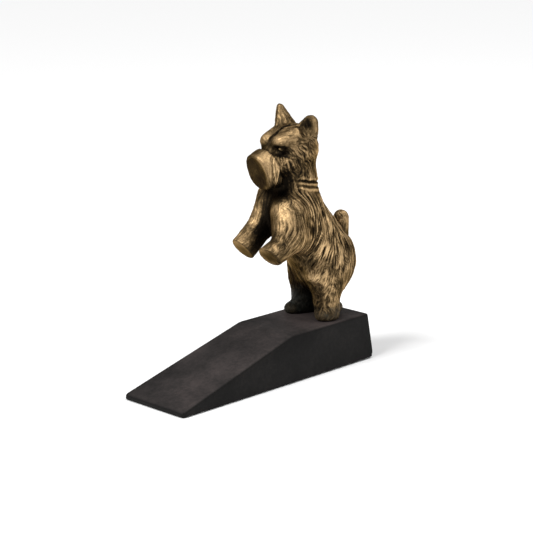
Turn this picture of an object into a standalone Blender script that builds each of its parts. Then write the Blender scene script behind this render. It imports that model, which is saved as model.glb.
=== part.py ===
"""Bronze dog on a cast-iron door wedge, with its screws, washers and rubber pad.

Metres, +Z up. The wedge's thin end points to -Y and the dog looks the same way.
The origin is on the floor, under the middle of the wedge.
"""

import math
from collections import namedtuple

import bmesh
import bpy
from mathutils import Euler, Matrix, Vector

# Spaces left between pieces
TOUCH_GAP = 0.0003            # between faces that bear on each other
SCREW_CLEARANCE = 0.0003      # round each screw's shank
WASHER_CLEARANCE = 0.0006     # round each washer in its counterbore

# Wedge
WEDGE_LENGTH = 0.165
WEDGE_WIDTH = 0.0505          # at the bottom edges
WEDGE_HEIGHT = 0.029          # flat top above the floor
TIP_HEIGHT = 0.0034           # top of the thin end above the floor
FLAT_LENGTH = 0.0694          # flat top, from the back edge to the start of the slope
SIDE_DRAFT = 0.09             # how far a side leans in, per metre of height
BACK_DRAFT = 0.11             # the same for the back
EDGE_ROUND = 0.0014           # on the upper edges
RIDGE_ROUND = 0.003           # where the flat top meets the slope
BOTTOM_ROUND = 0.0006

# Rubber pad in the wedge's underside
PAD_THICKNESS = 0.0018
PAD_SHOWS = 0.0005            # how far the pad stands out below the wedge
PAD_RIM = 0.0045              # iron left round the recess
PAD_CORNER = 0.003

# Screws, from below into the hind feet
SCREW_DIAMETER = 0.005
SCREW_HEAD_DIAMETER = 0.0085
SCREW_HEAD_HEIGHT = 0.005
SOCKET_ACROSS_FLATS = 0.004
SOCKET_DEPTH = 0.0026
SCREW_POINT = 0.0006          # chamfer at the tip
THREAD_ENGAGEMENT = 0.011     # length of screw inside a foot
HOLE_SPARE = 0.002            # left above the screw's tip
COUNTERBORE_DEPTH = 0.011
WASHER_DIAMETER = 0.010
WASHER_THICKNESS = 0.001
SPRING_WASHER_DIAMETER = 0.0092
SPRING_WASHER_THICKNESS = 0.0013
SPRING_WASHER_SPLIT = 0.0012
SPRING_WASHER_SLANT = 20      # degrees that the split leans

# Where the dog stands on the wedge
STAND_FROM_BACK = 0.028       # middle of the hind feet, ahead of the wedge's back edge

# The dog's own frame: z = 0 under the soles, y = 0 midway between the hind feet.
# An egg is an ellipsoid: its middle, its half sizes and its turn in degrees.
# A limb is a round bar that tapers from one end ball to the other.
Egg = namedtuple("Egg", "middle half turn", defaults=((0, 0, 0),))
Limb = namedtuple("Limb", "start start_radius end end_radius")

FOOT_X = 0.0118               # middle of each hind foot, off the centre line
FOOT_STAGGER = 0.0015         # left foot ahead and right foot behind by this much

RUMP = Egg((0, 0.0082, 0.0330), (0.0193, 0.0192, 0.0225))
TRUNK = Limb((0, 0.0050, 0.036), 0.0198, (0, -0.0190, 0.0690), 0.0170)
CHEST = Egg((0, -0.0205, 0.068), (0.0167, 0.0175, 0.0195))
NECK = Limb((0, -0.0195, 0.076), 0.0153, (0, -0.020, 0.092), 0.0142)
TAIL = Limb((0, 0.0238, 0.042), 0.0048, (0, 0.0235, 0.0582), 0.0051)
LEFT_ARMPIT = Egg((0.0095, -0.0250, 0.057), (0.0088, 0.0105, 0.0125), (-20, 0, 0))

# Locks of fur, laid side by side down the back and flanks.
# The spine is where they start from: points inside the dog, each with the distance out to its skin.
SpinePoint = namedtuple("SpinePoint", "y z reach")
SPINE = (
    SpinePoint(-0.0195, 0.080, 0.0150),
    SpinePoint(-0.0170, 0.066, 0.0174),
    SpinePoint(-0.0070, 0.052, 0.0190),
    SpinePoint(0.0050, 0.038, 0.0200),
    SpinePoint(0.0080, 0.025, 0.0174),
)
LOCKS = 7
FIRST_LOCK = -112             # degrees round the spine, from the middle of the back towards the left
LOCK_STEP = 35
LOCK_RADIUS = 0.0030
LOCK_RISE = 0.0011            # how far a lock stands out of the skin
LOCK_THINNING = 0.8           # each stretch of a lock ends this much thinner than it starts

# Hind legs, measured from the middle of their own foot, with +X away from the body
THIGH = Egg((-0.0008, 0.0030, 0.029), (0.0102, 0.0140, 0.0170), (-12, 0, 0))
SHIN = Limb((-0.0015, 0, 0.020), 0.0091, (-0.0006, 0.0004, 0.003), 0.0080)
LEFT_PAW = Egg((0.0009, -0.0024, 0.0025), (0.0067, 0.0079, 0.0050), (0, 0, 18))
RIGHT_PAW = Egg((0.0006, -0.0060, 0.0025), (0.0067, 0.0079, 0.0050), (0, 0, 18))
HEEL = Limb((-0.0022, 0.0060, 0.0030), 0.0050, (-0.0048, 0.0144, 0.0034), 0.0036)
LEFT_KNEE = Egg((-0.0004, -0.0078, 0.0298), (0.0072, 0.0082, 0.0080), (14, 0, 0))

# Forelegs: shoulder, elbow and paw, with the way that the flat of each paw looks
LEFT_UPPER_ARM = Limb((0.0090, -0.0330, 0.071), 0.0113, (0.0130, -0.0380, 0.0605), 0.0103)
LEFT_FOREARM = Limb((0.0130, -0.0349, 0.0557), 0.0079, (0.0135, -0.0578, 0.0482), 0.0067)
LEFT_PAD_MIDDLE = (0.0133, -0.0568, 0.0489)
LEFT_PAD_FACES = (-0.30, -0.75, -0.60)
RIGHT_UPPER_ARM = Limb((-0.0102, -0.0266, 0.077), 0.0104, (-0.0114, -0.0348, 0.0610), 0.0079)
RIGHT_FOREARM = Limb((-0.0114, -0.0348, 0.0610), 0.0079, (-0.0120, -0.0534, 0.0468), 0.0083)
RIGHT_PAD_MIDDLE = (-0.0120, -0.0513, 0.0489)
RIGHT_PAD_FACES = (-0.15, -0.65, -0.75)

# Head, measured from the middle of the skull
HEAD_MIDDLE = (0, -0.0210, 0.1075)
SKULL = Egg((0, 0, 0), (0.0142, 0.0171, 0.0153))
CHEEKS = Egg((0, -0.0065, -0.006), (0.0138, 0.0144, 0.0098))
LEFT_EAR = Limb((0.0077, 0.0026, 0.0080), 0.0080, (0.0116, 0.0033, 0.0168), 0.0049)
LEFT_EAR_HOLLOW = Limb((0.0119, -0.0002, 0.0120), 0.0042, (0.0142, 0.0005, 0.0170), 0.0034)
RIGHT_EAR = Limb((-0.0104, 0.0010, 0.0075), 0.0098, (-0.0139, 0.0022, 0.0230), 0.0032)
RIGHT_EAR_BACK = Limb((-0.0090, 0.0054, 0.0080), 0.0074, (-0.0134, 0.0028, 0.0216), 0.0030)
RIGHT_EAR_HOLLOW = Limb((-0.0152, -0.0024, 0.0100), 0.0048, (-0.0175, -0.0012, 0.0200), 0.0016)
EAR_OPENS = (0.72, -0.69, 0.10)      # the left ear's opening looks this way, the right one's mirrored
EAR_FLAT = 0.0018             # how far ahead of its middle an ear is cut flat
RIGHT_EAR_FLAT = 0.0030

# Face, measured from the same point, before the face is turned a little to the dog's right
FACE_TURN = -8                # degrees
SNOUT = Egg((0, -0.0125, -0.0045), (0.0100, 0.0095, 0.0093))
STOP = Limb((-0.0042, -0.0120, 0.0008), 0.0066, (0.0042, -0.0120, 0.0008), 0.0066)
BROW = Limb((0.0056, -0.0128, 0.0053), 0.0057, (0.0065, -0.0035, 0.0090), 0.0057)
MUZZLE = Limb((0, -0.0170, -0.0092), 0.0117, (0, -0.0262, -0.0121), 0.0113)
MUZZLE_NARROWING = 0.93       # width of the muzzle against its height
MUZZLE_FACE_MIDDLE = (0, -0.0265, -0.0122)
MUZZLE_FACES = (0, -0.96, -0.28)
FURROW = Limb((0, -0.0210, 0.0055), 0.0011, (0, -0.0020, 0.0158), 0.0014)
LEFT_SOCKET = Limb((0.0066, -0.0196, 0.0012), 0.0026, (0.0138, -0.0134, 0.0010), 0.0032)
RIGHT_SOCKET = Limb((-0.0108, -0.0164, 0.0010), 0.0020, (-0.0142, -0.0112, 0.0010), 0.0030)
LEFT_EYE = Egg((0.0087, -0.0147, 0.0019), (0.0016, 0.0025, 0.0015))
RIGHT_EYE = Egg((-0.0100, -0.0134, 0.0017), (0.0017, 0.0023, 0.0015))

# Collar: cast ridges round the neck, higher at the throat
COLLAR_ROWS = 2
COLLAR_MIDDLE = (0, -0.0198, 0.0882)
COLLAR_RADIUS = 0.0139
COLLAR_SPREAD = 0.0004        # the lower ridge is wider by this much
COLLAR_PITCH = 0.0034         # from one ridge down to the other
COLLAR_RIDGE = 0.0012         # radius of a ridge
COLLAR_TILT = -10             # degrees

# How finely the dog's clay is worked
CLAY_GRAIN = 0.0010
CLAY_STROKES = 12             # times that it is smoothed
STROKE_STRENGTH = 0.5         # how far a stroke moves each point to the middle of its neighbours
CLAY_KEEP = 0.10              # share of the faces kept
CUTTER_REACH = 0.012          # how far a flat cut reaches

# How round things are made, as flats in a full turn unless said
TURNED_SIDES = 48
EGG_SIDES = 32
EYE_SIDES = 12
RIDGE_RING_SIDES = 32
RIDGE_SECTION_SIDES = 6
HEXAGON = 6
LIMB_FINENESS = 3             # times that the faces of a limb's end balls are split
HOLLOW_FINENESS = 2
CORNER_STEPS = 6              # flats round one corner of a slab
EDGE_STEPS = 4                # flats round one edge of the wedge
ARC_PROFILE = 0.5             # bevel profile that makes a true arc

# Places that follow from the sizes above
WEDGE_BOTTOM = PAD_SHOWS
WEDGE_TOP = WEDGE_HEIGHT
BACK_BOTTOM_Y = WEDGE_LENGTH / 2
BACK_TOP_Y = BACK_BOTTOM_Y - BACK_DRAFT * (WEDGE_TOP - WEDGE_BOTTOM)
RIDGE_Y = BACK_TOP_Y - FLAT_LENGTH
TIP_Y = -WEDGE_LENGTH / 2
RECESS_TOP = PAD_THICKNESS + TOUCH_GAP
SEAT_Z = RECESS_TOP + COUNTERBORE_DEPTH
SOLE_Z = WEDGE_TOP + TOUCH_GAP
STAND = Vector((0, BACK_BOTTOM_Y - STAND_FROM_BACK, SOLE_Z))
SCREW_HOLE_RADIUS = SCREW_DIAMETER / 2 + SCREW_CLEARANCE
SIDES = {"left": 1, "right": -1}


def mirrored(vector, side):
    return Vector((vector[0] * side, vector[1], vector[2]))


def foot_middle(side):
    return STAND + Vector((side * FOOT_X, -side * FOOT_STAGGER, 0))


def principled(name, colour, metallic, roughness):
    material = bpy.data.materials.new(name)
    material.use_nodes = True
    shader = material.node_tree.nodes["Principled BSDF"]
    shader.inputs["Base Color"].default_value = (*colour, 1)
    shader.inputs["Metallic"].default_value = metallic
    shader.inputs["Roughness"].default_value = roughness
    return material


def clear_scene():
    for thing in list(bpy.data.objects):
        bpy.data.objects.remove(thing)


def new_collection(name, hidden):
    collection = bpy.data.collections.new(name)
    collection.hide_render = hidden
    bpy.context.scene.collection.children.link(collection)
    return collection


def object_from(mesh_edit, name, collection):
    bmesh.ops.recalc_face_normals(mesh_edit, faces=mesh_edit.faces[:])
    mesh = bpy.data.meshes.new(name)
    mesh_edit.to_mesh(mesh)
    mesh_edit.free()
    thing = bpy.data.objects.new(name, mesh)
    collection.objects.link(thing)
    if collection.hide_render:
        thing.hide_render = True
        thing.display_type = "WIRE"
    return thing


def boolean(thing, operation, other):
    modifier = thing.modifiers.new(other.name, "BOOLEAN")
    modifier.operation = operation
    modifier.solver = "EXACT"
    modifier.object = other


# Solids that the pieces are made from


def add_egg(mesh_edit, egg, origin, side=1, sides=EGG_SIDES):
    turn = Euler([math.radians(angle) for angle in egg.turn]).to_matrix().to_4x4()
    mirror = Matrix.Diagonal((side, 1, 1, 1))
    place = Matrix.Translation(origin) @ mirror @ Matrix.Translation(egg.middle) @ turn
    size = Matrix.Diagonal((*egg.half, 1))
    bmesh.ops.create_uvsphere(
        mesh_edit, u_segments=sides, v_segments=sides // 2, radius=1, matrix=place @ size
    )


def add_limb(mesh_edit, limb, origin, narrowing=1, cut=None, fineness=LIMB_FINENESS, side=1):
    """A tapering bar with ball ends. cut is a (point, normal) that trims it flat."""
    balls = bmesh.new()
    for middle, radius in ((limb.start, limb.start_radius), (limb.end, limb.end_radius)):
        at = Vector(origin) + mirrored(middle, side)
        size = Matrix.Diagonal((radius * narrowing, radius, radius, 1))
        matrix = Matrix.Translation(at) @ size
        bmesh.ops.create_icosphere(balls, subdivisions=fineness, radius=1, matrix=matrix)
    bar = bmesh.new()
    for vertex in balls.verts:
        bar.verts.new(vertex.co)
    balls.free()
    hull = bmesh.ops.convex_hull(bar, input=bar.verts[:])
    bmesh.ops.delete(bar, geom=hull["geom_interior"], context="VERTS")
    if cut:
        point, normal = cut
        geometry = bar.verts[:] + bar.edges[:] + bar.faces[:]
        bmesh.ops.bisect_plane(bar, geom=geometry, plane_co=point, plane_no=normal, clear_outer=True)
        rim = [edge for edge in bar.edges if edge.is_boundary]
        bmesh.ops.contextual_create(bar, geom=rim)
    part = bpy.data.meshes.new("limb")
    bar.to_mesh(part)
    bar.free()
    mesh_edit.from_mesh(part)
    bpy.data.meshes.remove(part)


def cylinder(name, collection, middle, bottom, top, radius, sides=TURNED_SIDES, bore=0):
    """An upright cylinder, with a bore right through it where bore is given."""
    profile = [(bore, bottom), (radius, bottom), (radius, top), (bore, top)]
    return turned(name, collection, middle, profile, sides)


def turned(name, collection, middle, profile, sides=TURNED_SIDES):
    """A profile of (radius, z) points turned round the upright axis through middle."""
    edit = bmesh.new()
    rings = []
    for radius, z in profile:
        if radius == 0:
            rings.append([edit.verts.new((middle[0], middle[1], z))] * sides)
            continue
        ring = []
        for step in range(sides):
            angle = 2 * math.pi * (step + 0.5) / sides
            at = (middle[0] + radius * math.cos(angle), middle[1] + radius * math.sin(angle), z)
            ring.append(edit.verts.new(at))
        rings.append(ring)
    for lower, upper in zip(rings, rings[1:] + rings[:1]):
        for step in range(sides):
            after = (step + 1) % sides
            if lower[step] is lower[after] and upper[step] is upper[after]:
                continue
            corners = [lower[step], lower[after], upper[after], upper[step]]
            edit.faces.new(list(dict.fromkeys(corners)))
    return object_from(edit, name, collection)


def rounded_slab(name, collection, half_x, back_y, tip_y, bottom, top, corner):
    """A flat slab with round upright corners."""
    edit = bmesh.new()
    place = Matrix.Translation((0, (back_y + tip_y) / 2, (bottom + top) / 2))
    size = Matrix.Diagonal((2 * half_x, back_y - tip_y, top - bottom, 1))
    bmesh.ops.create_cube(edit, size=1, matrix=place @ size)
    upright = []
    for edge in edit.edges:
        rise = abs(edge.verts[0].co.z - edge.verts[1].co.z)
        if rise > (top - bottom) / 2:
            upright.append(edge)
    bmesh.ops.bevel(
        edit,
        geom=upright,
        offset=corner,
        segments=CORNER_STEPS,
        profile=ARC_PROFILE,
        affect="EDGES",
    )
    return object_from(edit, name, collection)


def place_face(edit, head):
    """Turn what was made round the origin to the way that the face looks, and put it on the head."""
    turn = Matrix.Rotation(math.radians(FACE_TURN), 4, "Z")
    bmesh.ops.transform(edit, matrix=Matrix.Translation(head) @ turn, verts=edit.verts[:])


def flat_cutter(name, collection, middle, faces, radius):
    """A block that lies against the plane through middle and takes off what is beyond it."""
    edit = bmesh.new()
    direction = Vector(faces).normalized()
    turn = direction.to_track_quat("Z", "Y").to_matrix().to_4x4()
    at = Vector(middle) + direction * CUTTER_REACH / 2
    size = Matrix.Diagonal((2 * radius, 2 * radius, CUTTER_REACH, 1))
    bmesh.ops.create_cube(edit, size=1, matrix=Matrix.Translation(at) @ turn @ size)
    return object_from(edit, name, collection)


# Wedge


def wedge_section():
    """The wedge seen from its side, as (y, z) corners with how round each one is."""
    return [
        (TIP_Y, WEDGE_BOTTOM, BOTTOM_ROUND),
        (BACK_BOTTOM_Y, WEDGE_BOTTOM, BOTTOM_ROUND),
        (BACK_TOP_Y, WEDGE_TOP, EDGE_ROUND),
        (RIDGE_Y, WEDGE_TOP, RIDGE_ROUND),
        (TIP_Y, TIP_HEIGHT, EDGE_ROUND),
    ]


def build_wedge(parts, helpers):
    edit = bmesh.new()
    layer = edit.edges.layers.float.new("bevel_weight_edge")
    section = wedge_section()
    flanks = []
    for side in (1, -1):
        flank = []
        for y, z, _ in section:
            x = WEDGE_WIDTH / 2 - SIDE_DRAFT * (z - WEDGE_BOTTOM)
            flank.append(edit.verts.new((side * x, y, z)))
        flanks.append(flank)
        edit.faces.new(flank)
    for index, (_, _, roundness) in enumerate(section):
        after = (index + 1) % len(section)
        corners = [flanks[0][index], flanks[0][after], flanks[1][after], flanks[1][index]]
        edit.faces.new(corners)
        across = edit.edges.get((flanks[0][index], flanks[1][index]))
        across[layer] = roundness / RIDGE_ROUND
        along_round = BOTTOM_ROUND if index == 0 else EDGE_ROUND
        for flank in flanks:
            edit.edges.get((flank[index], flank[after]))[layer] = along_round / RIDGE_ROUND
    wedge = object_from(edit, "wedge_base", parts)
    bevel = wedge.modifiers.new("soft edges", "BEVEL")
    bevel.limit_method = "WEIGHT"
    bevel.width = RIDGE_ROUND
    bevel.segments = EDGE_STEPS
    recess = rounded_slab(
        "pad recess",
        helpers,
        WEDGE_WIDTH / 2 - PAD_RIM,
        BACK_BOTTOM_Y - PAD_RIM,
        TIP_Y + PAD_RIM,
        -TOUCH_GAP,
        RECESS_TOP,
        PAD_CORNER + TOUCH_GAP,
    )
    boolean(wedge, "DIFFERENCE", recess)
    for name, side in SIDES.items():
        middle = foot_middle(side)
        bore_radius = WASHER_DIAMETER / 2 + WASHER_CLEARANCE
        profile = [
            (0, 0),
            (bore_radius, 0),
            (bore_radius, SEAT_Z),
            (SCREW_HOLE_RADIUS, SEAT_Z),
            (SCREW_HOLE_RADIUS, WEDGE_TOP + SCREW_DIAMETER),
            (0, WEDGE_TOP + SCREW_DIAMETER),
        ]
        boolean(wedge, "DIFFERENCE", turned(name + " screw way", helpers, middle, profile))
    return wedge


def build_pad(parts):
    inset = PAD_RIM + TOUCH_GAP
    return rounded_slab(
        "grip_pad",
        parts,
        WEDGE_WIDTH / 2 - inset,
        BACK_BOTTOM_Y - inset,
        TIP_Y + inset,
        0,
        PAD_THICKNESS,
        PAD_CORNER,
    )


# Screws and washers


def build_fastener(name, side, parts, helpers):
    """One screw with its flat and spring washers, hanging from the counterbore's seat."""
    middle = foot_middle(side)
    flat_top = SEAT_Z - TOUCH_GAP
    flat_bottom = flat_top - WASHER_THICKNESS
    spring_top = flat_bottom - TOUCH_GAP
    spring_bottom = spring_top - SPRING_WASHER_THICKNESS
    head_top = spring_bottom - TOUCH_GAP
    head_bottom = head_top - SCREW_HEAD_HEIGHT
    tip = SOLE_Z + THREAD_ENGAGEMENT
    shank = SCREW_DIAMETER / 2
    head = SCREW_HEAD_DIAMETER / 2
    profile = [
        (0, head_bottom),
        (head - SCREW_POINT, head_bottom),
        (head, head_bottom + SCREW_POINT),
        (head, head_top),
        (shank, head_top),
        (shank, tip - SCREW_POINT),
        (shank - SCREW_POINT, tip),
        (0, tip),
    ]
    screw = turned(name + "_paw_screw", parts, middle, profile)
    socket_radius = SOCKET_ACROSS_FLATS / 2 / math.cos(math.pi / HEXAGON)
    socket = cylinder(
        name + " socket",
        helpers,
        middle,
        head_bottom - SOCKET_DEPTH,
        head_bottom + SOCKET_DEPTH,
        socket_radius,
        sides=HEXAGON,
    )
    boolean(screw, "DIFFERENCE", socket)
    bore = SCREW_HOLE_RADIUS
    flat = cylinder(
        name + "_flat_washer", parts, middle, flat_bottom, flat_top, WASHER_DIAMETER / 2, bore=bore
    )
    spring = cylinder(
        name + "_lock_washer",
        parts,
        middle,
        spring_bottom,
        spring_top,
        SPRING_WASHER_DIAMETER / 2,
        bore=bore,
    )
    edit = bmesh.new()
    place = Matrix.Translation((middle.x, middle.y - SPRING_WASHER_DIAMETER / 2, spring_top))
    size = Matrix.Diagonal((SPRING_WASHER_SPLIT, SPRING_WASHER_DIAMETER, SPRING_WASHER_DIAMETER, 1))
    slant = Matrix.Rotation(math.radians(SPRING_WASHER_SLANT), 4, "Y")
    bmesh.ops.create_cube(edit, size=1, matrix=place @ slant @ size)
    boolean(spring, "DIFFERENCE", object_from(edit, name + " split", helpers))
    return screw, flat, spring


# Dog


def lock_points(angle):
    """Points on the skin down one lock, as many as the spine has."""
    points = []
    for index, here in enumerate(SPINE):
        before = SPINE[max(index - 1, 0)]
        after = SPINE[min(index + 1, len(SPINE) - 1)]
        down = Vector((0, after.y - before.y, after.z - before.z)).normalized()
        backwards = Vector((0, -down.z, down.y))
        outwards = backwards * math.cos(angle) + Vector((math.sin(angle), 0, 0))
        depth = here.reach + LOCK_RISE - LOCK_RADIUS
        points.append(Vector((0, here.y, here.z)) + outwards.normalized() * depth)
    return points


def add_locks(edit):
    """Every other lock starts and ends one spine point lower than its neighbours."""
    for number in range(LOCKS):
        points = lock_points(math.radians(FIRST_LOCK + number * LOCK_STEP))
        points = points[1:] if number % 2 else points[:-1]
        for start, end in zip(points, points[1:]):
            add_limb(edit, Limb(start, LOCK_RADIUS, end, LOCK_RADIUS * LOCK_THINNING), STAND)


def dog_clay(parts):
    """Every rounded form of the dog, still as separate overlapping solids in one mesh."""
    edit = bmesh.new()
    for egg in (RUMP, CHEST, LEFT_ARMPIT):
        add_egg(edit, egg, STAND)
    for limb in (TRUNK, NECK, TAIL, LEFT_UPPER_ARM, LEFT_FOREARM, RIGHT_UPPER_ARM, RIGHT_FOREARM):
        add_limb(edit, limb, STAND)
    add_locks(edit)
    for side, paw in ((1, LEFT_PAW), (-1, RIGHT_PAW)):
        foot = foot_middle(side)
        add_egg(edit, THIGH, foot, side)
        add_limb(edit, SHIN, foot, side=side)
        add_egg(edit, paw, foot, side)
        add_limb(edit, HEEL, foot, side=side)
    add_egg(edit, LEFT_KNEE, foot_middle(SIDES["left"]))
    head = STAND + Vector(HEAD_MIDDLE)
    for egg in (SKULL, CHEEKS):
        add_egg(edit, egg, head)
    ears = ((LEFT_EAR, 1, EAR_FLAT), (RIGHT_EAR, -1, RIGHT_EAR_FLAT), (RIGHT_EAR_BACK, -1, RIGHT_EAR_FLAT))
    for ear, side, flat in ears:
        opens = mirrored(EAR_OPENS, side).normalized()
        ear_middle = (Vector(ear.start) + Vector(ear.end)) / 2
        add_limb(edit, ear, head, cut=(head + ear_middle + opens * flat, opens))
    face = bmesh.new()
    add_egg(face, SNOUT, (0, 0, 0))
    add_limb(face, STOP, (0, 0, 0))
    for side in SIDES.values():
        add_limb(face, BROW, (0, 0, 0), side=side)
    add_limb(face, MUZZLE, (0, 0, 0), narrowing=MUZZLE_NARROWING)
    place_face(face, head)
    placed = bpy.data.meshes.new("face")
    face.to_mesh(placed)
    face.free()
    edit.from_mesh(placed)
    bpy.data.meshes.remove(placed)
    return object_from(edit, "dog_figure", parts)


def blend_clay(dog):
    remesh = dog.modifiers.new("one skin", "REMESH")
    remesh.mode = "VOXEL"
    remesh.voxel_size = CLAY_GRAIN
    smooth = dog.modifiers.new("worked smooth", "SMOOTH")
    smooth.factor = STROKE_STRENGTH
    smooth.iterations = CLAY_STROKES
    decimate = dog.modifiers.new("fewer faces", "DECIMATE")
    decimate.ratio = CLAY_KEEP


def carve_dog(dog, helpers):
    """The eyes, collar, ear hollows and flats, worked into the blended skin."""
    head = STAND + Vector(HEAD_MIDDLE)
    hollows = bmesh.new()
    for hollow in (LEFT_EAR_HOLLOW, RIGHT_EAR_HOLLOW):
        add_limb(hollows, hollow, head, fineness=HOLLOW_FINENESS)
    boolean(dog, "DIFFERENCE", object_from(hollows, "ear hollows", helpers))
    cuts = bmesh.new()
    for cut in (LEFT_SOCKET, RIGHT_SOCKET, FURROW):
        add_limb(cuts, cut, (0, 0, 0), fineness=HOLLOW_FINENESS)
    place_face(cuts, head)
    boolean(dog, "DIFFERENCE", object_from(cuts, "sockets and furrow", helpers))
    eyes = bmesh.new()
    for eye in (LEFT_EYE, RIGHT_EYE):
        add_egg(eyes, eye, (0, 0, 0), sides=EYE_SIDES)
    place_face(eyes, head)
    boolean(dog, "UNION", object_from(eyes, "eyes", helpers))
    for row in range(COLLAR_ROWS):
        bpy.ops.mesh.primitive_torus_add(
            major_segments=RIDGE_RING_SIDES,
            minor_segments=RIDGE_SECTION_SIDES,
            major_radius=COLLAR_RADIUS + row * COLLAR_SPREAD,
            minor_radius=COLLAR_RIDGE,
            location=STAND + Vector(COLLAR_MIDDLE) - Vector((0, 0, row * COLLAR_PITCH)),
            rotation=(math.radians(COLLAR_TILT), 0, 0),
        )
        ridge = bpy.context.object
        ridge.name = "collar ridge %d" % (row + 1)
        for collection in list(ridge.users_collection):
            collection.objects.unlink(ridge)
        helpers.objects.link(ridge)
        ridge.hide_render = True
        ridge.display_type = "WIRE"
        boolean(dog, "UNION", ridge)
    turn = Matrix.Rotation(math.radians(FACE_TURN), 3, "Z")
    flats = (
        ("muzzle face", head + turn @ Vector(MUZZLE_FACE_MIDDLE), turn @ Vector(MUZZLE_FACES)),
        ("left pad", STAND + Vector(LEFT_PAD_MIDDLE), LEFT_PAD_FACES),
        ("right pad", STAND + Vector(RIGHT_PAD_MIDDLE), RIGHT_PAD_FACES),
    )
    for name, middle, faces in flats:
        boolean(dog, "DIFFERENCE", flat_cutter(name, helpers, middle, faces, CUTTER_REACH))
    soles = flat_cutter("soles", helpers, STAND, (0, 0, -1), WEDGE_LENGTH)
    boolean(dog, "DIFFERENCE", soles)
    for name, side in SIDES.items():
        hole_top = SOLE_Z + THREAD_ENGAGEMENT + HOLE_SPARE
        hole = cylinder(
            name + " foot hole",
            helpers,
            foot_middle(side),
            SOLE_Z - SCREW_DIAMETER,
            hole_top,
            SCREW_HOLE_RADIUS,
        )
        boolean(dog, "DIFFERENCE", hole)


def paint(thing, material):
    thing.data.materials.clear()
    thing.data.materials.append(material)


def main():
    clear_scene()
    parts = new_collection("bronze dog doorstop", hidden=False)
    helpers = new_collection("helpers", hidden=True)
    dog = dog_clay(parts)
    blend_clay(dog)
    carve_dog(dog, helpers)
    paint(dog, principled("antique bronze", (0.36, 0.23, 0.10), 1.0, 0.42))
    paint(build_wedge(parts, helpers), principled("black iron", (0.025, 0.025, 0.024), 0.0, 0.6))
    paint(build_pad(parts), principled("black rubber", (0.02, 0.02, 0.02), 0.0, 0.9))
    for name, side in SIDES.items():
        for thing in build_fastener(name, side, parts, helpers):
            paint(thing, principled(thing.name + " steel", (0.55, 0.56, 0.58), 1.0, 0.35))


main()
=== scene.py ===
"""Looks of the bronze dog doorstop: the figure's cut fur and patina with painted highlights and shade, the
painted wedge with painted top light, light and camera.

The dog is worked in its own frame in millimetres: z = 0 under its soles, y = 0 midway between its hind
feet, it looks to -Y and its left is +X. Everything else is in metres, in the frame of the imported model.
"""

import math

import bmesh
import bpy
import numpy as np
from mathutils import Euler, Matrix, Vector


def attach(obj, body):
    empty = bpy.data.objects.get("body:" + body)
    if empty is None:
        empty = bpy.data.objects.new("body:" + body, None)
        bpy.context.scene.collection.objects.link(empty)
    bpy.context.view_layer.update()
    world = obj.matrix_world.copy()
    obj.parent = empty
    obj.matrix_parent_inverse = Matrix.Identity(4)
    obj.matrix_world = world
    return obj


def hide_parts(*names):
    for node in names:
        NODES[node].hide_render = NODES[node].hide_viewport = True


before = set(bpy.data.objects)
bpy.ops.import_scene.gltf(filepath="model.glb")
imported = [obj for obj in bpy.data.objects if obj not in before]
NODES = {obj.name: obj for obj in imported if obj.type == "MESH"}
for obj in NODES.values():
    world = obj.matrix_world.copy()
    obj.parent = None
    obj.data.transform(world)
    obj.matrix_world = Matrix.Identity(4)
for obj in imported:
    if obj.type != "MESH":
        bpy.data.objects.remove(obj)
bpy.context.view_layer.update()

MM = 0.001
FIGURE_AT = np.array((0, 0.0545, 0.0293))     # the dog's own origin
GRID = 0.43                  # mm, size of a cell of the dog's skin
GRID_LOW, GRID_HIGH = np.array((-25.0, -63.0, -2.0)), np.array((26.0, 32.0, 136.0))
MOST_TRIANGLES = 192000
BLOCK = 4                    # cells along a block of the first, coarse look
BLOCK_REACH = 1.6            # blocks; a block is looked at finely if the skin is this near its middle
CHUNK = 200000               # spots worked out at a time
F = np.float32


def vec(values):
    return np.array(values, F)


def unit(values):
    values = np.array(values, np.float64)
    return (values / np.linalg.norm(values)).astype(F)


def turned(rx, ry, rz):
    return np.array(Euler([math.radians(a) for a in (rx, ry, rz)]).to_matrix(), F)


# Forms of the dog, each a distance in mm


def egg(p, middle, half, turn=(0, 0, 0)):
    q = (p - vec(middle)) @ turned(*turn)
    half = vec(half)
    near = np.linalg.norm(q / half, axis=1)
    slope = np.linalg.norm(q / (half * half), axis=1) + 1e-9
    return near * (near - 1) / slope


def limb(p, start, end, r0, r1):
    a, b = vec(start), vec(end)
    ba = b - a
    l2 = float(ba @ ba)
    rr = r0 - r1
    a2 = l2 - rr * rr
    pa = p - a
    y = pa @ ba
    z = y - l2
    x2 = ((pa * l2 - y[:, None] * ba) ** 2).sum(1)
    y2, z2 = y * y * l2, z * z * l2
    k = np.sign(rr) * rr * rr * x2
    d = (np.sqrt(x2 * a2 / l2) + y * rr) / l2 - r0
    d = np.where(np.sign(y) * a2 * y2 < k, np.sqrt(x2 + y2) / l2 - r0, d)
    d = np.where(np.sign(z) * a2 * z2 > k, np.sqrt(x2 + z2) / l2 - r1, d)
    return d


def block(p, middle, half, corner, turn=(0, 0, 0)):
    q = np.abs((p - vec(middle)) @ turned(*turn)) - (vec(half) - F(corner))
    return np.linalg.norm(np.maximum(q, 0), axis=1) + np.minimum(q.max(1), 0) - F(corner)


def plane(p, at, normal):
    return (p - vec(at)) @ unit(normal)


def melt(a, b, k):
    h = np.maximum(k - np.abs(a - b), 0) / k
    return np.minimum(a, b) - h * h * k / 4


def crop(a, b, k):
    return -melt(-a, -b, k)


def carve(a, b, k):
    return -melt(-a, b, k)


def mirrored(p):
    m = p.copy()
    m[:, 0] = np.abs(p[:, 0])
    return m


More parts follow.
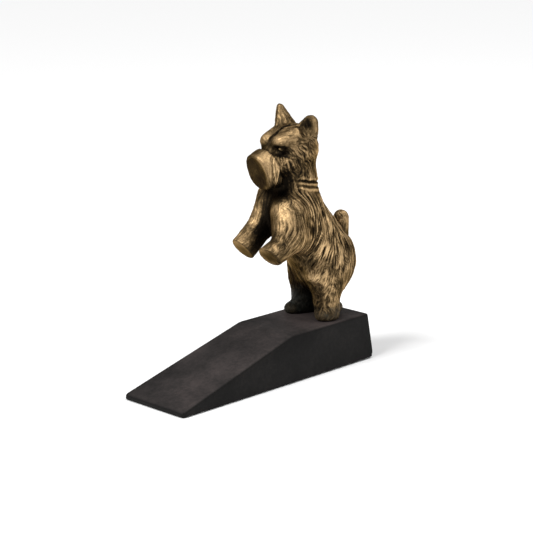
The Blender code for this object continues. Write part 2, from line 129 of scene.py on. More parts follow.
def drum(p, back, front, r_back, r_front, k):
    """A tapering drum, a little squarer than round across."""
    a, b = vec(back), vec(front)
    axis = b - a
    length = float(np.linalg.norm(axis))
    axis /= length
    q = p - a
    t = q @ axis
    across = np.abs(q - t[:, None] * axis)
    r = (across[:, 0] ** 2.5 + np.hypot(across[:, 1], across[:, 2]) ** 2.5) ** 0.4
    side = r - (r_back + (r_front - r_back) * np.clip(t / length, -0.5, 1.5))
    return crop(crop(side, -t, k), t - length, k)


def collar_ring(p, middle, radius, thick, wave):
    q = (p - vec((0, COLLAR_AXIS, middle))) @ turned(COLLAR_LEAN, 0, 0)
    angle = np.arctan2(q[:, 1], q[:, 0])
    # the ridges run round the nape and fade on the way to the throat
    fade = np.clip((np.abs(np.arctan2(q[:, 0], -q[:, 1])) - 0.80) / 0.35, 0, 1)
    rise = q[:, 2] - wave * np.sin(11 * angle) - wave * 0.6 * np.sin(23 * angle + 1)
    return np.hypot(np.hypot(q[:, 0], q[:, 1]) - radius, rise) - thick * fade


EAR_OPENS = {1: (0.72, -0.69, 0.10), -1: (-0.72, -0.69, 0.10)}
HEAD = vec((0, -21, 107.5))
FACE_TURN = (0, 0, -8)               # the face looks a little to the dog's right
MUZZLE_FACE = (0, -26.5, -12.2)      # from HEAD, before that turn
MUZZLE_LEAN = 16.4
# Furrow from the muzzle to the crown, in the face's frame: start, end and the radius at each
FURROW = (
    ((-0.4, -21.6, 2.4), (0, -18.9, 5.6), 1.2, 1.6),
    ((0, -18.7, 6.1), (-0.1, -7.2, 13.6), 1.55, 1.4),
    ((-0.1, -7.2, 13.5), (2.4, 0.2, 16.0), 1.5, 1.1),
)
# Collar: height on the neck's axis, radius, thickness and how much it waves
COLLAR_RIDGES = ((90.4, 13.8, 0.9, 0.40), (87.4, 13.9, 0.9, 0.15), (84.2, 14.2, 1.0, 0.10))
COLLAR_GROOVES = ((88.9, 14.6, 0.7), (85.8, 15.1, 0.7), (82.6, 16.1, 0.7))
GROOVE_WAVE = 0.1
COLLAR_AXIS, COLLAR_LEAN = -19.8, -10       # where the neck's axis runs, and the collar's lean in degrees
COLLAR_SOFT = 0.3
NEAR_PAD, NEAR_PAD_FACES = (13.2, -55.0, 48.4), (0.05, -0.76, -0.65)
FAR_PAD, FAR_PAD_FACES = (-12, -52.0, 48.2), (-0.13, -0.76, -0.64)


def ear(p, base, tip, rb, rt, side, flat=1.6):
    n = unit(EAR_OPENS[side])
    at = (vec(base) + vec(tip)) / 2 + n * flat
    return crop(limb(p, base, tip, rb, rt), (p - at) @ n, 2.2)


def hollow(d, p, base, tip, rb, rt, side, out):
    n = unit(EAR_OPENS[side]) * out
    return carve(d, limb(p, vec(base) + n, vec(tip) + n, rb, rt), 1.6)


def head(p):
    q = p - HEAD
    face = q @ turned(*FACE_TURN)
    m = mirrored(face)
    # skull, cheeks and stop
    d = egg(q, (0, 0, 0), (14.2, 17.1, 15.3))
    d = melt(d, egg(q, (0, -6.5, -6.0), (13.6, 14.2, 9.8)), 3)
    d = melt(d, egg(face, (0, -12.5, -4.5), (9.8, 9.3, 9.1)), 2.5)
    d = melt(d, block(face, (0, -8.6, 1.0), (9.6, 9.2, 7.2), 3.4), 1.5)
    # brow, then the muzzle with its sunk flat
    brow = block(m, (6.0, -9.0, 6.8), (5.9, 11.2, 5.3), 5.2, (22, 0, -5))
    brow = crop(brow, plane(face, (0, -17.2, 5.8), (0, -1, 0.08)), 2.2)
    d = melt(d, brow, 1.6)
    muzzle = drum(face * vec((1.12, 1, 1)), (0, -17.8, -9.1), MUZZLE_FACE, 12.4, 11.4, 1.7)
    muzzle = carve(muzzle, egg(face, (0, -26.9, -11.9), (8.6, 0.8, 9.8), (MUZZLE_LEAN, 0, 0)), 0.5)
    d = melt(d, muzzle, 0.5)
    for start, end, r0, r1 in FURROW:
        d = carve(d, limb(face, start, end, r0, r1), 0.6)
    # sockets and eyes
    d = carve(d, limb(face, (6.4, -18.4, 1.3), (12.0, -13.8, 1.2), 2.3, 2.6), 2.0)
    d = carve(d, limb(face, (-10.4, -15.8, 1.0), (-13.8, -10.6, 1.0), 2.0, 3.0), 2.0)
    d = melt(d, egg(face, (8.7, -14.9, 2.3), (1.6, 2.4, 1.5)), 0.3)
    d = melt(d, egg(face, (-10.0, -13.4, 2.0), (1.6, 2.2, 1.4)), 0.4)
    # ears: the near one, then the far one in two limbs, and a hollow in each
    d = melt(d, ear(q, (7.6, 2.6, 8.2), (11.7, 3.3, 16.5), 7.7, 4.9, 1), 1.5)
    d = melt(d, ear(q, (-10.4, 1.0, 7.5), (-13.7, 2.2, 22.3), 9.6, 3.2, -1, 3.0), 1.5)
    d = melt(d, ear(q, (-9.0, 5.4, 8.0), (-13.4, 2.8, 22.0), 7.4, 3.0, -1, 3.0), 1.0)
    d = hollow(d, q, (9.4, 2.7, 13.4), (11.3, 3.3, 17.2), 4.9, 4.1, 1, 5.2)
    d = hollow(d, q, (-11.4, 1.0, 9.5), (-14.0, 2.2, 19.5), 4.8, 1.6, -1, 5.4)
    return d


LEG_APART = 11.8             # from the middle to a hind leg
LEG_STAGGER = 1.5            # the near leg stands this much further forward, the far one further back


def hind_leg(p, side):
    m = (p - vec((0, -LEG_STAGGER * side, 0))) * vec((side, 1, 1)) - vec((LEG_APART, 0, 0))
    # thigh, shank, paw and heel
    d = egg(m, (-0.8, 3.0, 29.0), (10.2, 14.0, 17.0), (-12, 0, 0))
    d = melt(d, limb(m, (-1.5, 0, 20), (-0.6, 0.4, 3), 8.8, 7.7), 4)
    paw = (0.9, -2.4, 2.4) if side > 0 else (0.6, -6.0, 2.4)
    d = melt(d, egg(m, paw, (6.4, 7.6, 4.6), (0, 0, 18)), 2.0)
    d = melt(d, limb(m, (-2.2, 6.0, 3.0), (-4.8, 14.6, 3.4), 4.8, 3.3), 3)
    if side > 0:
        knee = egg(m, (-0.6, -6.6, 29.5), (7.6, 9.2, 9.5), (14, 0, 0))
        knee = crop(knee, plane(m, (1.2, -10.5, 24.0), (-0.1, -0.25, -1)), 1.6)
        d = melt(d, knee, 3)
    return d


def foreleg(upper, lower, pad, k=3):
    return crop(melt(upper, lower, k), pad, 1.3)


def figure(p):
    """Distance to the dog's surface in mm, before its fur is cut."""
    # rump, trunk, chest and neck
    d = egg(p, (0, 8.2, 33.0), (19.2, 19.1, 22.4))
    d = melt(d, limb(p, (0, 5.0, 36.0), (0, -19.0, 69.0), 19.6, 16.8), 5)
    d = melt(d, egg(p, (0, -20.5, 68.0), (16.5, 17.3, 19.3)), 4)
    d = melt(d, limb(p, (0, -19.5, 76.0), (0, -20.0, 92.0), 15.0, 14.0), 4)
    d = melt(d, hind_leg(p, 1), 3.5)
    d = melt(d, hind_leg(p, -1), 3.5)
    # near armpit and the forelegs
    d = melt(d, egg(p, (9.5, -25, 57), (8.8, 10.5, 12.5), (-20, 0, 0)), 6)
    near = foreleg(
        limb(p, (9, -33, 71), (13, -38, 60.5), 11.2, 10.2),
        limb(p, (13, -34.9, 55.7), (13.3, -57.6, 47.2), 7.7, 7.3),
        plane(p, NEAR_PAD, NEAR_PAD_FACES),
    )
    d = melt(d, near, 5)
    far = foreleg(
        limb(p, (-10.2, -26.6, 77), (-11.6, -35.2, 61), 10.2, 7.9),
        limb(p, (-11.6, -35.2, 61), (-12, -54.6, 46.2), 7.9, 8.2),
        plane(p, FAR_PAD, FAR_PAD_FACES),
    )
    d = melt(d, far, 2.5)
    # tail, head and collar
    d = melt(d, limb(p, (0, 23.8, 42), (0, 23.5, 57.9), 4.6, 4.9), 1.5)
    d = melt(d, head(p), 4)
    for groove in COLLAR_GROOVES:
        d = carve(d, collar_ring(p, *groove, GROOVE_WAVE), COLLAR_SOFT)
    for ridge in COLLAR_RIDGES:
        d = melt(d, collar_ring(p, *ridge), COLLAR_SOFT)
    return crop(d, -p[:, 2], 0.5)


# The skin: where the distance is nought on a fine grid


def sample_grid():
    """Distances on the fine grid, worked out only near the surface."""
    low = GRID_LOW
    step = GRID * BLOCK
    cells = np.ceil((GRID_HIGH - GRID_LOW) / step).astype(int) * BLOCK
    blocks = cells // BLOCK
    middles = np.stack(np.meshgrid(*[np.arange(n) for n in blocks], indexing="ij"), -1).reshape(-1, 3)
    at = (low + (middles + 0.5) * step).astype(F)
    coarse = figure(at)
    field = np.repeat(np.repeat(np.repeat(coarse.reshape(blocks), BLOCK, 0), BLOCK, 1), BLOCK, 2)
    field = np.pad(field, ((0, 1),) * 3, mode="edge").astype(F)
    offsets = np.stack(np.meshgrid(*[np.arange(BLOCK + 1)] * 3, indexing="ij"), -1).reshape(-1, 3)
    near = middles[np.abs(coarse) < step * BLOCK_REACH]
    index = (near[:, None, :] * BLOCK + offsets[None]).reshape(-1, 3)
    flat = np.unique(np.ravel_multi_index(index.T, field.shape))
    index = np.stack(np.unravel_index(flat, field.shape), 1)
    for part in np.array_split(np.arange(len(index)), 1 + len(index) // CHUNK):
        spots = (low + index[part] * GRID).astype(F)
        field[tuple(index[part].T)] = figure(spots)
    return field, low


def surface_net(field, low):
    """One vertex in each cell that the surface crosses, joined by four-sided faces."""
    inside = field < 0
    cells = tuple(n - 1 for n in field.shape)
    corners = [(i, j, k) for i in (0, 1) for j in (0, 1) for k in (0, 1)]

    def corner(grid, c):
        return grid[c[0]:c[0] + cells[0], c[1]:c[1] + cells[1], c[2]:c[2] + cells[2]]

    count = sum(corner(inside, c).astype(np.int8) for c in corners)
    active = np.argwhere((count > 0) & (count < 8))
    number = -np.ones(cells, np.int64)
    number[tuple(active.T)] = np.arange(len(active))
    total = np.zeros((len(active), 3), F)
    hits = np.zeros(len(active), F)
    for a in corners:
        for axis in range(3):
            if a[axis]:
                continue
            b = tuple(v + (i == axis) for i, v in enumerate(a))
            va = field[tuple((active + a).T)]
            vb = field[tuple((active + b).T)]
            cross = (va < 0) != (vb < 0)
            t = np.where(cross, va / np.where(cross, va - vb, 1), 0)
            spot = np.tile(vec(a), (len(active), 1))
            spot[:, axis] += t
            total += spot * cross[:, None]
            hits += cross
    points = (low + (active + total / hits[:, None]) * GRID).astype(F)
    faces = []
    for axis in range(3):
        u, v = (axis + 1) % 3, (axis + 2) % 3
        ahead = [slice(None)] * 3
        here = [slice(None)] * 3
        ahead[axis], here[axis] = slice(1, None), slice(None, -1)
        first, second = inside[tuple(here)], inside[tuple(ahead)]
        for flip, mask in ((False, first & ~second), (True, ~first & second)):
            at = np.argwhere(mask)
            at = at[(at[:, u] > 0) & (at[:, v] > 0) & (at[:, u] < cells[u]) & (at[:, v] < cells[v])]
            quad = []
            for du, dv in ((1, 1), (0, 1), (0, 0), (1, 0)):
                c = at.copy()
                c[:, u] -= du
                c[:, v] -= dv
                quad.append(number[tuple(c.T)])
            quad = np.stack(quad, 1)
            faces.append(quad[:, ::-1] if flip else quad)
    return points, np.concatenate(faces)


def gradient(points, reach=0.15):
    out = np.zeros_like(points)
    for way in ((1, 1, 1), (1, -1, -1), (-1, 1, -1), (-1, -1, 1)):
        out += figure(points + vec(way) * reach)[:, None] * vec(way)
    return out / np.linalg.norm(out, axis=1)[:, None]


# Fur


LATTICE = 32                 # steps after which a noise repeats; a power of two


class Noise:
    """Smooth random values in space."""

    def __init__(self, seed, size):
        self.lattice = np.random.default_rng(seed).standard_normal((LATTICE,) * 3).astype(F)
        self.size = size

    def __call__(self, p):
        q = p / self.size
        base = np.floor(q).astype(np.int64)
        t = q - base
        t = t * t * (3 - 2 * t)
        out = 0
        for c in ((i, j, k) for i in (0, 1) for j in (0, 1) for k in (0, 1)):
            at = (base + c) & (LATTICE - 1)
            weight = np.prod(np.where(np.array(c), t, 1 - t), axis=1)
            out = out + weight * self.lattice[at[:, 0], at[:, 1], at[:, 2]]
        return out.astype(F)


# Where fur lies: a place, the way that the hair runs there, and how deep it is cut in mm
GUIDES = (
    # head
    ((0, -5, 121), (0, 1, 0.2), 0.20), ((0, -3, 108), (0, 0.2, -1), 0.32),
    ((13, -14, 108), (0.1, 0.9, -0.7), 0.34), ((-13, -14, 108), (-0.1, 0.9, -0.7), 0.34),
    ((13, -22, 101), (0.2, 0.7, -1), 0.34), ((-13, -22, 101), (-0.2, 0.7, -1), 0.34),
    ((7, -36, 116), (0.8, 0.8, 0.2), 0.19), ((-7, -36, 116), (-0.8, 0.8, 0.2), 0.14),
    ((9, -28, 121), (0.8, 0.6, 0.3), 0.22), ((-9, -28, 121), (-0.8, 0.6, 0.3), 0.22),
    ((-2, -42, 107), (0, -1, -0.3), 0.12), ((7.5, -42.5, 99), (0.2, 0.15, -1), 0.52),
    ((-12, -41, 99), (-0.2, 0.15, -1), 0.52), ((7.5, -39, 93), (0.1, 0.2, -1), 0.42),
    ((-12, -38, 93), (-0.1, 0.2, -1), 0.42), ((-3.7, -49, 96), (0, 0, -1), 0.02),
    ((1.5, -48, 97), (0, 0, -1), 0.02), ((-9, -47, 97), (0, 0, -1), 0.02), ((-3, -48, 89), (0, 0, -1), 0.02),
    ((-3, -49, 101), (0, 0, -1), 0.02), ((-1, -39, 85), (0, 0.3, -1), 0.10),
    ((11, -19, 124), (0.2, 0, 1), 0.16), ((-13, -19, 128), (-0.2, 0, 1), 0.20),
    # neck and chest
    ((0, -5, 93), (0, 0.1, -1), 0.34), ((14, -20, 93), (0.1, 0.1, -1), 0.30),
    ((-14, -20, 93), (-0.1, 0.1, -1), 0.30), ((15, -20, 86), (0, 0, -1), 0.06),
    ((-15, -20, 86), (0, 0, -1), 0.06), ((0, -5, 86), (0, 0, -1), 0.06), ((0, -38, 80), (0, 0, -1), 0.18),
    ((14, -24, 79), (0.15, 0.35, -1), 0.42), ((-14, -24, 79), (-0.15, 0.35, -1), 0.42),
    ((18, -33, 73), (0.2, 0.3, -1), 0.32), ((13, -43, 70), (0.3, 0.2, -1), 0.19),
    ((19, -33, 62), (0.1, 0.2, -1), 0.36),
    # flanks and back
    ((18, -14, 66), (0, 0.15, -1), 0.50), ((-18, -14, 66), (0, 0.15, -1), 0.50),
    ((0, -2, 74), (0, 0.45, -1), 0.45), ((12, -4, 72), (0.1, 0.4, -1), 0.48),
    ((-12, -4, 72), (-0.1, 0.4, -1), 0.48), ((0, 14, 58), (0, 0.6, -1), 0.45),
    ((15, 6, 56), (0.1, 0.3, -1), 0.52), ((-15, 6, 56), (-0.1, 0.3, -1), 0.52),
    ((18, -10, 52), (-0.1, -0.25, -1), 0.50), ((-18, -10, 52), (0.1, -0.25, -1), 0.50),
    ((12, -24, 47), (-0.3, -0.4, -1), 0.38), ((-12, -24, 47), (0.3, -0.4, -1), 0.28),
    ((0, -18, 42), (0, -0.1, -1), 0.18), ((0, 27, 36), (0, 0.1, -1), 0.45),
    ((16, 17, 36), (0.1, 0.0, -1), 0.50), ((-16, 17, 36), (-0.1, 0.0, -1), 0.50),
    ((20, 4, 36), (0.0, -0.15, -1), 0.48), ((-20, 4, 36), (0, -0.15, -1), 0.48),
    ((0, 24, 22), (0, -0.3, -1), 0.40), ((0, 24, 52), (0, 0, 1), 0.18), ((0, 28, 52), (0, 0, 1), 0.18),
    # hind legs
    ((19, -10, 29), (-0.1, -0.5, -1), 0.26), ((17, -2, 18), (0, -0.1, -1), 0.34),
    ((12, 8, 16), (0, -0.2, -1), 0.36), ((-17, -2, 18), (0, -0.1, -1), 0.34),
    ((-12, 8, 16), (0, -0.2, -1), 0.36), ((14, -9, 8), (0, -0.4, -1), 0.28),
    ((-14, -9, 8), (0, -0.4, -1), 0.28), ((14, -9, 2), (0, -1, -0.4), 0.16),
    ((-14, -9, 2), (0, -1, -0.4), 0.16), ((13, 8, 3), (0, 0, -1), 0.16), ((-13, 8, 3), (0, 0, -1), 0.16),
    # forelegs
    ((21, -44, 59), (0, -0.6, -0.8), 0.34), ((18, -53, 55), (0, -0.8, -0.5), 0.30),
    ((13, -47, 47), (0, -0.8, -0.5), 0.24), ((13, -55, 59), (0, -0.8, -0.5), 0.12),
    ((13, -57, 49), (0, -1, 0), 0.02), ((6, -48, 54), (0, -0.8, -0.5), 0.18),
    ((-16, -38, 68), (0, -0.5, -0.9), 0.22), ((-12, -50, 57), (0, -0.8, -0.6), 0.20),
    ((-18, -45, 52), (0, -0.8, -0.6), 0.24), ((-12, -52, 48), (0, -1, 0), 0.02),
    ((-6, -44, 56), (0, -0.8, -0.6), 0.22),
)
GUIDE_AT = vec([g[0] for g in GUIDES])
GUIDE_WAY = np.stack([unit(g[1]) for g in GUIDES])
GUIDE_DEPTH = vec([g[2] for g in GUIDES])


# Round these places, each with its reach in mm, the strokes are short and curled
CURLED = (
    ((13, -27, 104), 14), ((-13, -27, 104), 14), ((0, -22, 120), 13), ((12, -40, 76), 8),
    ((-12, -30, 80), 10), ((12, -2, 9), 14), ((-12, -2, 9), 14), ((18, -10, 28), 9),
    ((6, -22, 38), 13), ((0, 24, 56), 9), ((13, -48, 56), 9), ((-12, -42, 56), 14),
)
# Locks of fur laid side by side down the back and flanks: the spine that they start from is a row of
# points inside the dog, each with its y, its z and the distance out to the skin
SPINE = ((-19.5, 80, 15.0), (-17, 66, 17.4), (-7, 52, 19.0), (5, 38, 20.0), (8, 25, 17.4))
LOCKS, FIRST_LOCK, LOCK_STEP = 7, -112, 35
LOCK_RADIUS, LOCK_RISE, LOCK_THINNING = 3.0, 0.6, 0.8


def lock_points(angle):
    points = []
    for index, (y, z, reach) in enumerate(SPINE):
        before, after = SPINE[max(index - 1, 0)], SPINE[min(index + 1, len(SPINE) - 1)]
        down = unit((0, after[0] - before[0], after[1] - before[1]))
        outwards = unit((math.sin(angle), -down[2] * math.cos(angle), down[1] * math.cos(angle)))
        points.append(vec((0, y, z)) + outwards * (reach + LOCK_RISE - LOCK_RADIUS))
    return points


def lock_lift(p):
    """How far the locks stand out of the skin at p."""
    nearest = np.full(len(p), 9.0, F)
    for number in range(LOCKS):
        points = lock_points(math.radians(FIRST_LOCK + number * LOCK_STEP))
        points = points[1:] if number % 2 else points[:-1]
        for start, end in zip(points, points[1:]):
            nearest = np.minimum(nearest, limb(p, start, end, LOCK_RADIUS, LOCK_RADIUS * LOCK_THINNING))
    return -melt(np.zeros(len(p), F), nearest, 1.0)


def near_places(p, places):
    """1 at the places, falling to 0 away from them."""
    total = np.zeros(len(p), F)
    for middle, reach in places:
        total += np.exp(-((p - vec(middle)) ** 2).sum(1) / reach ** 2)
    return np.clip(total, 0, 1)


def guided(p, values):
    """Values given at the guides, spread to p by closeness."""
    d2 = ((p[:, None, :] - GUIDE_AT[None]) ** 2).sum(2)
    weight = 1 / (d2 + 4) ** 2.5
    return (weight @ values) / (weight.sum(1)[:, None] if values.ndim > 1 else weight.sum(1))


class Grid:
    """Trilinear reading of the fine grid and its slopes."""

    def __init__(self, field, low):
        slopes = np.gradient(field)
        self.data = np.stack([field] + slopes, -1).astype(F)
        self.low = low.astype(F)

    def __call__(self, p):
        q = (p - self.low) / F(GRID)
        base = np.clip(np.floor(q).astype(np.int64), 0, np.array(self.data.shape[:3]) - 2)
        t = np.clip(q - base, 0, 1)
        out = 0
        for c in ((i, j, k) for i in (0, 1) for j in (0, 1) for k in (0, 1)):
            at = base + c
            weight = np.prod(np.where(np.array(c), t, 1 - t), axis=1)
            out = out + weight[:, None] * self.data[at[:, 0], at[:, 1], at[:, 2]]
        n = out[:, 1:]
        return out[:, 0], n / (np.linalg.norm(n, axis=1)[:, None] + 1e-9)


# Strokes: seed and size of two noises, how far and in which steps they are combed, the curl and its size.
# Lengths are in mm.
LONG_STROKES = (((11, 0.95), (12, 0.60)), 8.8, 0.8, 0.14, 8.0)
SHORT_STROKES = (((13, 0.90), (14, 0.60)), 3.0, 0.7, 0.60, 3.0)
SWAY_SEEDS = (5, 6, 7)
LONG_RIDGE, LONG_FINE = 0.37, 0.50       # width of a ridge, in values, and share of the finer strokes
SHORT_RIDGE, SHORT_FINE = 0.42, 0.42
RIDGE_HEIGHT, RIDGE_BIAS = 0.68, 0.10
LUMPS = ((21, 3.4, 0.5), (22, 1.7, 0.35))        # seed, size and height of soft unevenness
GRAIN = (23, 0.9, 0.03)
MOTTLE = ((24, 6.0, 0.5), (25, 2.5, 0.3))
AIR = ((1.5, 0.25), (4.0, 0.35), (10.0, 0.4))    # how far out openness is felt, and its share
CUT, STAIN = 0.72, 0.80                  # the strokes' share in the shape and in the patina
LUMP_LEAST, LUMP_BY_DEPTH = 0.05, 0.14
FULL_RELIEF = 0.4                        # mm of relief that the patina takes as 1
SOLE_PLAIN = 0.1                         # relief is none this many mm below z = 0, and full 1 mm above that
NEWTON_STEPS = 2                         # corrections that bring the net's points onto the skin


def comb(points, grid, noises, reach, step, curl, curl_size):
    """Random values drawn out along the hair, both ways from each point."""
    sway = [Noise(seed, curl_size) for seed in SWAY_SEEDS]
    noises = [Noise(seed, size) for seed, size in noises]
    totals = [n(points) for n in noises]
    for way in (1, -1):
        q = points.copy()
        for number in range(int(reach / step)):
            off, n = grid(q)
            run = guided(q, GUIDE_WAY)
            run = run + curl * np.stack([s(q) for s in sway], 1)
            run -= (run * n).sum(1)[:, None] * n
            run /= np.linalg.norm(run, axis=1)[:, None] + 1e-6
            q = q + way * step * run - off[:, None] * n * 0.7
            fade = 0.5 + 0.5 * math.cos(math.pi * (number + 1) * step / (reach + step))
            for i, noise in enumerate(noises):
                totals[i] = totals[i] + fade * noise(q)
    return [t / t.std() for t in totals]


def ridges(values, width):
    """Evenly spaced ridges and hollows, with a ridge wherever the values pass through nought."""
    return RIDGE_HEIGHT * np.cos(values / width) + RIDGE_BIAS


def layered(points, layers):
    return sum(Noise(seed, size)(points) * height for seed, size, height in layers)


def figure_mesh():
    """The dog's bare skin, the same with its fur cut, its faces, and what the patina needs to know."""
    field, low = sample_grid()
    points, faces = surface_net(field, low)
    for _ in range(NEWTON_STEPS):
        n = gradient(points)
        points = (points - figure(points)[:, None] * n).astype(F)
    n = gradient(points)
    grid = Grid(field, low)
    long_coarse, long_fine = comb(points, grid, *LONG_STROKES)
    short_coarse, short_fine = comb(points, grid, *SHORT_STROKES)
    curled = near_places(points, CURLED)
    depth = guided(points, GUIDE_DEPTH)
    long_fur = ridges(long_coarse, LONG_RIDGE) + LONG_FINE * long_fine
    short_fur = ridges(short_coarse, SHORT_RIDGE) + SHORT_FINE * short_fine
    strands = long_fur * (1 - curled) + short_fur * curled
    lumps = layered(points, LUMPS) * (LUMP_LEAST + LUMP_BY_DEPTH * depth)
    off_sole = np.clip(points[:, 2] + SOLE_PLAIN, 0, 1)
    lift = depth * strands * CUT + lumps + layered(points, (GRAIN,)) + lock_lift(points)
    relief = off_sole * (depth * strands * STAIN + lumps)
    open_air = np.zeros(len(points), F)
    for reach, share in AIR:
        open_air += share * np.clip(figure(points + n * reach) / reach, 0, 1)
    moved = points + n * (off_sole * lift)[:, None]
    return points, moved, faces, {
        "relief": relief / FULL_RELIEF,
        "open_air": open_air,
        "mottle": layered(points, MOTTLE),
    }


def new_object(name, points, faces):
    mesh = bpy.data.meshes.new(name)
    mesh.vertices.add(len(points))
    mesh.vertices.foreach_set("co", np.asarray(points, np.float32).ravel())
    sides = faces.shape[1]
    mesh.loops.add(len(faces) * sides)
    mesh.loops.foreach_set("vertex_index", faces.ravel().astype(np.int32))
    mesh.polygons.add(len(faces))
    mesh.polygons.foreach_set("loop_start", np.arange(0, len(faces) * sides, sides, dtype=np.int32))
    mesh.update(calc_edges=True)
    mesh.validate()
    mesh.polygons.foreach_set("use_smooth", np.full(len(mesh.polygons), True))
    mesh.update()
    thing = bpy.data.objects.new(name, mesh)
    bpy.context.scene.collection.objects.link(thing)
    return thing


def thin_out(thing, most):
    """Fewer triangles, taken where the skin is flattest."""
    triangles = sum(len(face.vertices) - 2 for face in thing.data.polygons)
    if triangles <= most:
        return
    modifier = thing.modifiers.new("fewer faces", "DECIMATE")
    modifier.ratio = most / triangles
    bpy.context.view_layer.update()
    whole = thing.evaluated_get(bpy.context.evaluated_depsgraph_get())
    mesh = bpy.data.meshes.new_from_object(whole)
    thing.modifiers.clear()
    old = thing.data
    thing.data = mesh
    bpy.data.meshes.remove(old)


# Materials


def new_material(name, metallic, roughness, colour=(0.5, 0.5, 0.5)):
    material = bpy.data.materials.new(name)
    material.use_nodes = True
    shader = material.node_tree.nodes["Principled BSDF"]
    shader.inputs["Base Color"].default_value = (*colour, 1)
    shader.inputs["Metallic"].default_value = metallic
    shader.inputs["Roughness"].default_value = roughness
    return material, material.node_tree, shader


def maths(tree, operation, a, b=None, clamp=False):
    made = tree.nodes.new("ShaderNodeMath")
    made.operation = operation
    made.use_clamp = clamp
    for index, value in enumerate((a, b)):
        if value is None:
            continue
        if isinstance(value, (int, float)):
            made.inputs[index].default_value = value
        else:
            tree.links.new(value, made.inputs[index])
    return made.outputs[0]


def attribute(tree, name):
    made = tree.nodes.new("ShaderNodeAttribute")
    made.attribute_name = name
    return made.outputs["Fac"]


def noise(tree, scale, detail=3, rough=0.55):
    coords = tree.nodes.new("ShaderNodeTexCoord")
    made = tree.nodes.new("ShaderNodeTexNoise")
    made.inputs["Scale"].default_value = scale
    made.inputs["Detail"].default_value = detail
    made.inputs["Roughness"].default_value = rough
    tree.links.new(coords.outputs["Object"], made.inputs["Vector"])
    return made.outputs["Fac"]


def ramp(tree, fac, stops):
    made = tree.nodes.new("ShaderNodeValToRGB")
    elements = made.color_ramp.elements
    while len(elements) < len(stops):
        elements.new(0.5)
    for element, (at, colour) in zip(elements, stops):
        element.position = at
        element.color = (*colour, 1)
    tree.links.new(fac, made.inputs[0])
    return made.outputs[0]


def spread(tree, value, low, high, to_low, to_high):
    made = tree.nodes.new("ShaderNodeMapRange")
    for index, number in ((1, low), (2, high), (3, to_low), (4, to_high)):
        made.inputs[index].default_value = number
    tree.links.new(value, made.inputs[0])
    return made.outputs[0]


def bump(tree, shader, height, strength, distance):
    made = tree.nodes.new("ShaderNodeBump")
    made.inputs["Strength"].default_value = strength
    made.inputs["Distance"].default_value = distance
    tree.links.new(height, made.inputs["Height"])
    tree.links.new(made.outputs["Normal"], shader.inputs["Normal"])


def mixed(tree, factor, first, second):
    made = tree.nodes.new("ShaderNodeMix")
    made.data_type = "RGBA"
    for name, socket in (("Factor", factor), ("A", first), ("B", second)):
        tree.links.new(socket, made.inputs[name])
    return made.outputs["Result"]


def parts_of(tree, kind, output):
    """X, Y and Z of a vector that a node of this kind gives."""
    made = tree.nodes.new("ShaderNodeSeparateXYZ")
    tree.links.new(tree.nodes.new(kind).outputs[output], made.inputs[0])
    return made.outputs


# Colours along how far a place is bared by wear and lit or shaded by painted light, how much painted top
# light it has or how cloudy it is, from 0 to 1
PATINA = (
    (0.0, (0.008, 0.006, 0.004)), (0.20, (0.030, 0.0205, 0.0105)), (0.42, (0.105, 0.070, 0.033)),
    (0.60, (0.260, 0.174, 0.086)), (0.80, (0.480, 0.325, 0.164)), (1.0, (0.70, 0.490, 0.260)),
)
# black soot on the feet, also painted shade on the far hind leg
SOOT_AND_SHADE = ((0.35, (0.0035, 0.004, 0.0035)), (0.62, (0.010, 0.0115, 0.010)), (0.8, (0.044, 0.050, 0.046)))
PAINT = ((0.30, (0.0050, 0.0047, 0.0045)), (0.52, (0.0080, 0.0074, 0.0070)), (0.72, (0.0150, 0.0130, 0.0120)))
# painted light on the wedge's upward faces
TOP_LIGHT = ((0.34, (0.017, 0.0152, 0.0148)), (0.50, (0.031, 0.0264, 0.0255)), (0.68, (0.053, 0.0425, 0.0405)))
RUBBER = ((0.3, (0.012, 0.012, 0.012)), (0.7, (0.030, 0.030, 0.029)))
ZINC = ((0.3, (0.42, 0.43, 0.45)), (0.7, (0.62, 0.63, 0.65)))

# How much each thing lays the bronze bare
WEAR_AT_REST = 0.37
WEAR_BY_RELIEF = 0.52
WEAR_BY_MOTTLE = 0.10
WEAR_SHELTERED, WEAR_OPEN = -0.30, 0.14
WEAR_BY_GRAIN = 0.12


